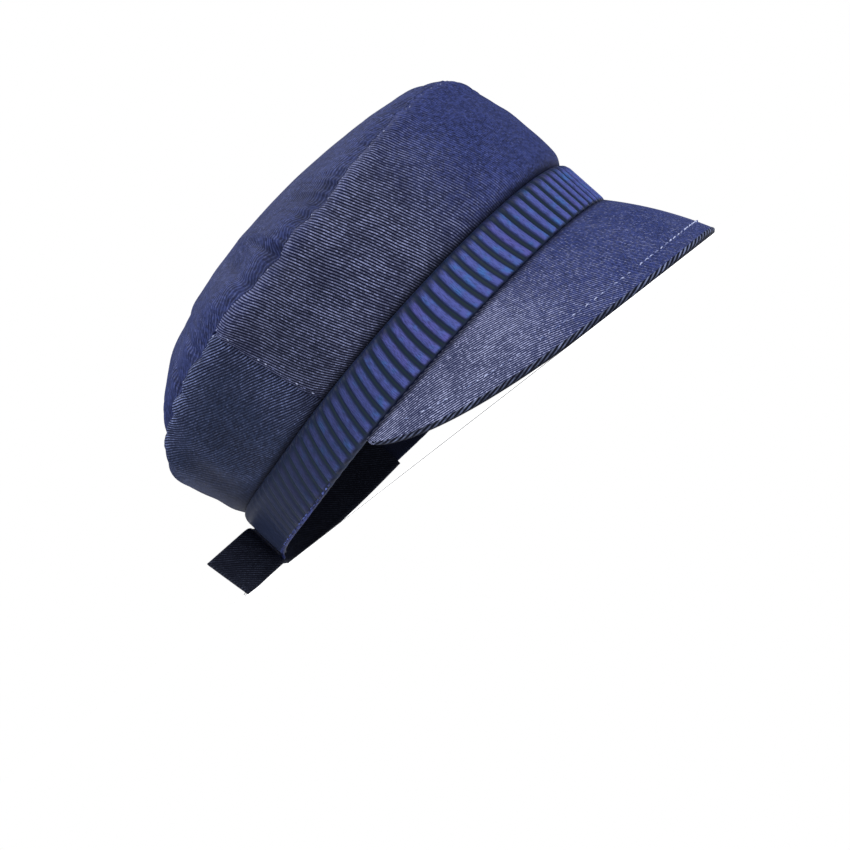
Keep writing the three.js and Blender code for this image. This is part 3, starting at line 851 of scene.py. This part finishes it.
def peak_point(angle, share, depth, inset=0.0):
    towards_side = np.abs(angle) / PEAK_END_ANGLE
    slope = np.radians(PEAK_SLOPE_FRONT + (PEAK_SLOPE_SIDE - PEAK_SLOPE_FRONT) * towards_side)
    outward = oval_normal(angle)
    cos, sin = np.cos(slope)[..., None], np.sin(slope)[..., None]
    down, facing = outward * cos - UP * sin, outward * sin + UP * cos
    root = (GAP - depth * np.cos(slope)) / np.sin(slope)
    width = peak_width(angle) - inset
    camber = 4 * PEAK_CAMBER * share * (1 - share) * (width / PEAK_DEPTH)
    reach = root + (width - root) * share
    return oval(angle) + down * reach[..., None] + facing * (camber - depth)[..., None]


def peak_angles(columns, end_width):
    share = math.sqrt(1 - (end_width / PEAK_DEPTH) ** (1 / PEAK_TAPER))
    return PEAK_END_ANGLE * share * np.sin(np.pi / 2 * np.linspace(-1, 1, columns))


def peak_weave(angle, reach):
    """Flat coordinates of the peak's cloth, as it was before it was bent round the front."""
    at = np.linspace(-95, 95, 761)
    azimuth = np.arctan2(oval_normal(at)[:, 0], -oval_normal(at)[:, 1])
    turned = azimuth * math.cos(math.radians(PEAK_SLOPE_FRONT))
    step = np.gradient(arc_length(at))
    line = np.stack([np.cumsum(-step * np.cos(turned)), np.cumsum(-step * np.sin(turned))], -1)
    turn = np.interp(angle, at, turned)
    x = np.interp(angle, at, line[:, 0]) + reach * np.sin(turn)
    y = np.interp(angle, at, line[:, 1]) - reach * np.cos(turn)
    return np.stack([x, y, 0 * x], -1)


def peak_cover(name):
    columns, rows, turns = 360, 44, 9
    full = PEAK_COVER_WALL + GAP + PEAK_LINING_WALL
    angle = peak_angles(columns, PEAK_END_WIDTH)[None, :]
    down = np.linspace(0, 1, rows) ** 0.85
    radius = full / 2
    outer, inner, reach = [], [], []
    for share in down:
        s = share + 0 * angle[0]
        outer.append(peak_point(angle[0], s, 0 * s, 0.9 * s))
        inner.append(peak_point(angle[0], s, PEAK_COVER_WALL + 0 * s, PEAK_LIP * s))
        reach.append(s * peak_width(angle[0]))
    for k in range(1, turns + 1):
        turn = math.pi * k / turns
        s = np.ones(columns)
        depth = radius * (1 - math.cos(turn))
        past = 0.9 - 0.9 * math.sin(turn)
        outer.append(peak_point(angle[0], s, depth + 0 * s, past + 0 * s))
        inner_depth = PEAK_COVER_WALL + (full - PEAK_COVER_WALL) * k / turns
        inner.append(peak_point(angle[0], s, inner_depth + 0 * s, PEAK_LIP + 0 * s))
        reach.append(peak_width(angle[0]) + radius * turn)
    outer, inner, reach = np.array(outer), np.array(inner), np.array(reach)
    weave = peak_weave(angle + 0 * reach, reach)
    # painted sheen: the lines give way to the plain mottled tone towards the front of the peak
    calm = 0.9 * (1 - smoothstep(np.abs(angle + 0 * reach), 22, 62))
    # painted shade along the peak's root under the band
    shade = 0.85 * (1 - smoothstep(reach, 0.3, 2.6))
    return shell(name, outer, inner, weave, [peak_denim, lining], painted_shading=np.stack([calm, shade, 0 * calm], -1))


def peak_under(name):
    columns, rows = 240, 24
    top = PEAK_COVER_WALL + GAP
    edge = PEAK_LIP + GAP
    angle = peak_angles(columns, PEAK_END_WIDTH + 2 * edge)[None, :] + np.zeros((rows, 1))
    share = np.linspace(0, 1, rows)[:, None] + 0 * angle
    outer = peak_point(angle, share, top + 0 * share, edge)
    inner = peak_point(angle, share, top + PEAK_LINING_WALL + 0 * share, edge)
    return shell(name, outer, inner, peak_weave(angle, share * peak_width(angle)), [peak_lining])


def peak_edge(name):
    """The cover's hem, turned over the edge of the peak."""
    columns, rows = 400, 15
    full = PEAK_COVER_WALL + GAP + PEAK_LINING_WALL
    angle = peak_angles(columns, PEAK_END_WIDTH + 1)
    one = np.ones(columns)
    turn = np.linspace(-0.22, 1.12, rows) * math.pi
    outer, inner = [], []
    for a in turn:
        lip = np.clip(a, 0, math.pi)
        past = (-0.16 * math.sin(lip) + 0.9 * (1 - math.sin(lip))
                + max(0, -a) * 0.85 + max(0, a - math.pi) * 2.4)
        depth = full / 2 * (1 - math.cos(lip)) - 0.14 * math.cos(lip)
        outer.append(peak_point(angle, one, depth * one, past * one))
        inner.append(peak_point(angle, one, (depth + PEAK_HEM_WALL * math.cos(lip)) * one,
                                (past + PEAK_HEM_WALL * math.sin(lip)) * one))
    outer, inner = np.array(outer), np.array(inner)
    along = run_along(outer[rows // 2])
    across = np.cumsum(np.linalg.norm(np.diff(outer, axis=0, prepend=outer[:1]), axis=-1), 0)
    weave = np.stack([along + 0 * across, across, 0 * across], -1)
    # painted shade on the half of the hem turned under the peak
    shade = 0.97 * smoothstep(turn / math.pi, 0.22, 0.5)[:, None] + 0 * across
    painted_shading = np.stack([0 * shade, shade, 0 * shade], -1)
    return shell(name, outer, inner, weave, [edge_denim], painted_shading=painted_shading)


cover = peak_cover("peak_cover")
hem = peak_edge("peak_edge")
under = peak_under("peak_under_cloth")


# Strap

def strap_line():
    """The strap's middle line: inside the far end of the band, across the gap, outside the near end."""
    inside = -(RIB_RELIEF + BAND_WALL + GAP + STRAP_THICKNESS / 2)
    outside = GAP + STRAP_THICKNESS / 2
    far_end = 360 - BAND_END_ANGLE
    start = arc_angle(arc_length(far_end) + STRAP_OVERLAP)
    leave = arc_angle(arc_length(BAND_END_ANGLE) + STRAP_THICKNESS)
    angle = np.linspace(start, leave, 60)
    across = np.clip((far_end - angle) / (far_end - leave), 0, 1)
    points = oval(angle, inside + (outside - inside) * smoothstep(across, 0, 1))
    turn = math.radians(STRAP_TAIL_TURN)
    tail = np.array((-math.cos(turn), math.sin(turn), 0))
    head = unit(points[-1] - points[-2])
    bend = []
    steps = 30
    at = points[-1]
    for s in np.linspace(0, 1, steps + 1)[1:]:
        way = unit(head * (1 - min(1, s * 4)) + tail * min(1, s * 4))
        at = at + way * STRAP_TAIL / steps
        bend.append(at)
    points = np.concatenate([points, bend])
    run = run_along(points)
    even = np.linspace(0, run[-1], 160)
    return np.stack([np.interp(even, run, points[:, k]) for k in range(3)], -1), even


def strap_point(line, run, along, across, height, out):
    tail = np.clip(1 - (run[-1] - run) / STRAP_TAIL, 0, 1)
    skew = tail[None, :] * STRAP_END_SKEW * (height[:, None] / STRAP_WIDTH - 0.5)
    base = BACK_LIFT - STRAP_DROP
    return (line[None] + along[None] * skew[..., None] + across[None] * out[..., None]
            + UP * (base + height)[:, None, None])


def back_strap(name):
    line, run = strap_line()
    along = unit(np.gradient(line, axis=0))
    across = unit(np.cross(along, UP))
    height = STRAP_WIDTH * edge_levels(16, 0.6)
    edge = np.minimum(height, STRAP_WIDTH - height)[:, None]
    half = STRAP_THICKNESS / 2 * (0.6 + 0.4 * np.sqrt(1 - (1 - np.clip(edge / 1.6, 0, 1)) ** 2))
    groove = 0.22 * np.exp(-((edge - 2.6) / 0.7) ** 2)
    half = half - groove + 0 * run[None, :]
    outer = strap_point(line, run, along, across, height, half)
    inner = strap_point(line, run, along, across, height, -half)
    weave = np.stack([run[None, :] + 0 * half, height[:, None] + 0 * half, 0 * half], -1)
    return shell(name, outer, inner, weave, [strap_denim])


strap = back_strap("back_strap_cloth")


# Stitches, piping and loose threads

def crown_path(angle, level):
    angle, level = np.broadcast_arrays(np.asarray(angle, float), np.asarray(level, float))
    point = crown_point(angle, level, np.zeros(angle.shape))
    return point, crown_normal(angle, np.where(level >= 1, np.maximum(level, 1.02), level))


def stitch_work():
    made = []
    ring = np.linspace(0, 360, 1441)
    path, normal = crown_path(ring, 0.972)
    piece = stitches("tip_seam_stitches", path, normal, navy_thread, 0.9, SEAM_STITCH, 0.2, 21, 0.45)
    made.append((piece, "denim"))
    for side, name in ((1, "side_seam_stitches_right"), (-1, "side_seam_stitches_left")):
        level = np.linspace(0.04, 0.97, 120)
        angle = side * (SIDE_SEAM_ANGLE + SIDE_SEAM_LEAN * (2 * level - 1) - 1.1)
        path, normal = crown_path(angle, level)
        piece = stitches(name, path, normal, navy_thread, 1.1, SEAM_STITCH + 0.3, 0.22, 23 + side, 0.3)
        made.append((piece, "denim"))
    angle = peak_angles(600, 14)
    share = 1 - PEAK_STITCH_INSET / peak_width(angle)
    keep = share > 0.05
    angle, share = angle[keep], share[keep]
    slope = math.radians(PEAK_SLOPE_FRONT)
    facing = oval_normal(angle) * math.sin(slope) + UP * math.cos(slope)
    path = peak_point(angle, share, 0 * angle)
    piece = stitches("peak_stitches", path, facing, white_thread, 2.1, PEAK_STITCH, 0.28, 31, 0.15, 0.08)
    made.append((piece, "denim"))
    path = peak_point(angle, share, PEAK_COVER_WALL + GAP + PEAK_LINING_WALL + 0 * angle)
    piece = stitches("peak_under_stitches", path, -facing, dark_thread, 1.9, PEAK_STITCH, 0.22, 33)
    made.append((piece, "peak_lining"))
    return made


def loose_ends():
    """Piping along the lower edge of the band and round its near end, and threads at the strap's cut end."""
    reach = arc_length(BAND_END_ANGLE)
    # the piping runs straight while at is below 0, then turns round the band's end
    at = np.concatenate([np.linspace(-3.5, 0, 100)[:-1], np.linspace(0, 1, 60)])
    along_edge = np.where(at < 0, at, smoothstep(at, 0, 0.75))
    length = reach - PIPING_TURN + (PIPING_TURN + 0.4) * along_edge
    height = back_lift(arc_angle(length)) + 0.05 - 2.0 * smoothstep(at, 0.62, 1.0)
    path = oval(arc_angle(length), -1.3 + 1.6 * smoothstep(at, 0.4, 1), height)
    radius = PIPING_RADIUS * np.clip((at + 3.5) / 1.2, 0.25, 1) * np.minimum(1, 0.3 + 5 * (1 - at))
    made = [tube("band_end_piping", path, radius, piping_thread)]
    line, _ = strap_line()
    along = unit(line[-1] - line[-2])
    across = unit(np.cross(along, UP))
    rng = np.random.default_rng(41)
    low = line[-1] - along * STRAP_END_SKEW / 2 + UP * (BACK_LIFT - STRAP_DROP)
    high = line[-1] + along * STRAP_END_SKEW / 2 + UP * (BACK_LIFT - STRAP_DROP + STRAP_WIDTH)
    for i, (share, size) in enumerate(LOOSE_THREADS):
        start = low + (high - low) * share - along * 0.8
        t = np.linspace(0, 1, 9)[:, None]
        drop = -UP * (0.3 + 0.5 * rng.random())
        sway = across * rng.uniform(-0.4, 0.4)
        curl = start + along * size * t + (drop + sway) * size * 0.45 * t ** 2
        made.append(tube(f"strap_loose_thread_{i + 1}", curl, LOOSE_THREAD_RADIUS, dark_thread, 6))
    for side, name in ((1, "band_edge_stitches_right"), (-1, "band_edge_stitches_left")):
        angle = arc_angle(side * np.linspace(reach - 78, reach - 3, 200))
        path = oval(angle, -0.75, back_lift(angle) + 0.55)
        facing = unit(oval_normal(angle) - 0.5 * UP)
        made.append(stitches(name, path, facing, blue_thread, 2.3, BAND_STITCH, 0.34, 51 + side, 0.06))
    return made


for piece in loose_ends():
    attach(piece, "root")

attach(hem, "root")

for piece, slot in stitch_work():
    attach(piece, "root")

for piece, node, slot in (
    (front_cloth, "crown_front_panel", "denim"),
    (back_cloth, "crown_back_panel", "denim"),
    (tip_cloth, "crown_tip", "denim"),
    (band_ribs, "band", "ribbed_satin"),
    (cover, "peak_upper", "denim"),
    (under, "peak_under", "peak_lining"),
    (strap, "back_strap", "strap_cloth"),
):
    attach(piece, "root")
    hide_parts(node)


# Floor, light and camera

def make_floor():
    g = Graph("pale_floor")
    place = g.add("ShaderNodeTexCoord").outputs["Object"]
    tone = g.steps(g.noise(place, 3.0, 2), 0.3, 0.7)
    far = g.add("ShaderNodeVectorMath", operation="LENGTH")
    g.put(far.inputs[0], place)
    solid = g.steps(far.outputs["Value"], *FLOOR_FADE, 1.0, 0.0)
    g.finish(g.mix(tone, (0.79, 0.79, 0.79), (0.81, 0.81, 0.81)), 0.9, Specular_IOR_Level=0.0)
    g.put(g.shader.inputs["Alpha"], solid)
    g.put(g.shader.inputs["Emission Color"], (1, 1, 1))
    g.put(g.shader.inputs["Emission Strength"], FLOOR_GLOW)
    mesh = bpy.data.meshes.new("floor")
    turns = np.linspace(0, 2 * np.pi, 96, endpoint=False)
    ring = [(FLOOR_RADIUS * math.cos(t), FLOOR_RADIUS * math.sin(t), 0) for t in turns]
    mesh.from_pydata(ring, [], [tuple(range(len(ring)))])
    mesh.materials.append(g.material)
    floor = bpy.data.objects.new("floor", mesh)
    bpy.context.scene.collection.objects.link(floor)


def area_light(name, place, size, power):
    data = bpy.data.lights.new(name, "AREA")
    data.shape = "DISK"
    data.size = size
    data.energy = power
    light = bpy.data.objects.new(name, data)
    light.location = place
    light.rotation_euler = (Vector(LIGHT_TARGET) - Vector(place)).to_track_quat("-Z", "Y").to_euler()
    bpy.context.scene.collection.objects.link(light)


def studio():
    scene = bpy.context.scene
    scene.view_settings.view_transform = "Standard"
    scene.view_settings.look = "None"
    world = bpy.data.worlds.new("studio")
    world.use_nodes = True
    scene.world = world
    tree = world.node_tree
    tree.nodes.clear()
    seen = tree.nodes.new("ShaderNodeBackground")
    seen.inputs[0].default_value = (1, 1, 1, 1)
    seen.inputs[1].default_value = 1.0
    lit = tree.nodes.new("ShaderNodeBackground")
    lit.inputs[0].default_value = (0.93, 0.95, 1.0, 1)
    lit.inputs[1].default_value = WORLD_LIGHT
    path = tree.nodes.new("ShaderNodeLightPath")
    blend = tree.nodes.new("ShaderNodeMixShader")
    out = tree.nodes.new("ShaderNodeOutputWorld")
    tree.links.new(path.outputs["Is Camera Ray"], blend.inputs[0])
    tree.links.new(lit.outputs[0], blend.inputs[1])
    tree.links.new(seen.outputs[0], blend.inputs[2])
    tree.links.new(blend.outputs[0], out.inputs[0])
    for light in LIGHTS:
        area_light(*light)


def make_camera():
    a, e, r = (math.radians(x) for x in (CAMERA_AZIMUTH, CAMERA_ELEVATION, CAMERA_ROLL))
    back = np.array((math.sin(a) * math.cos(e), -math.cos(a) * math.cos(e), math.sin(e)))
    right = np.array((math.cos(a), math.sin(a), 0))
    upward = np.cross(back, right)
    across = right * math.cos(r) - upward * math.sin(r)
    rise = right * math.sin(r) + upward * math.cos(r)
    place = back * CAMERA_DISTANCE - across * CAMERA_OFFSET[0] - rise * CAMERA_OFFSET[1]
    turn = PLACE[:3, :3] @ np.stack([across, rise, back], -1)
    world = PLACE[:3, :3] @ place / 1000 + PLACE[:3, 3]
    data = bpy.data.cameras.new("camera")
    data.lens = CAMERA_LENS
    data.sensor_width = 36
    data.clip_start = 0.01
    data.clip_end = 100
    camera = bpy.data.objects.new("camera", data)
    camera.matrix_world = Matrix.Translation(world) @ Matrix(turn.tolist()).to_4x4()
    bpy.context.scene.collection.objects.link(camera)
    bpy.context.scene.camera = camera


make_floor()
studio()
make_camera()
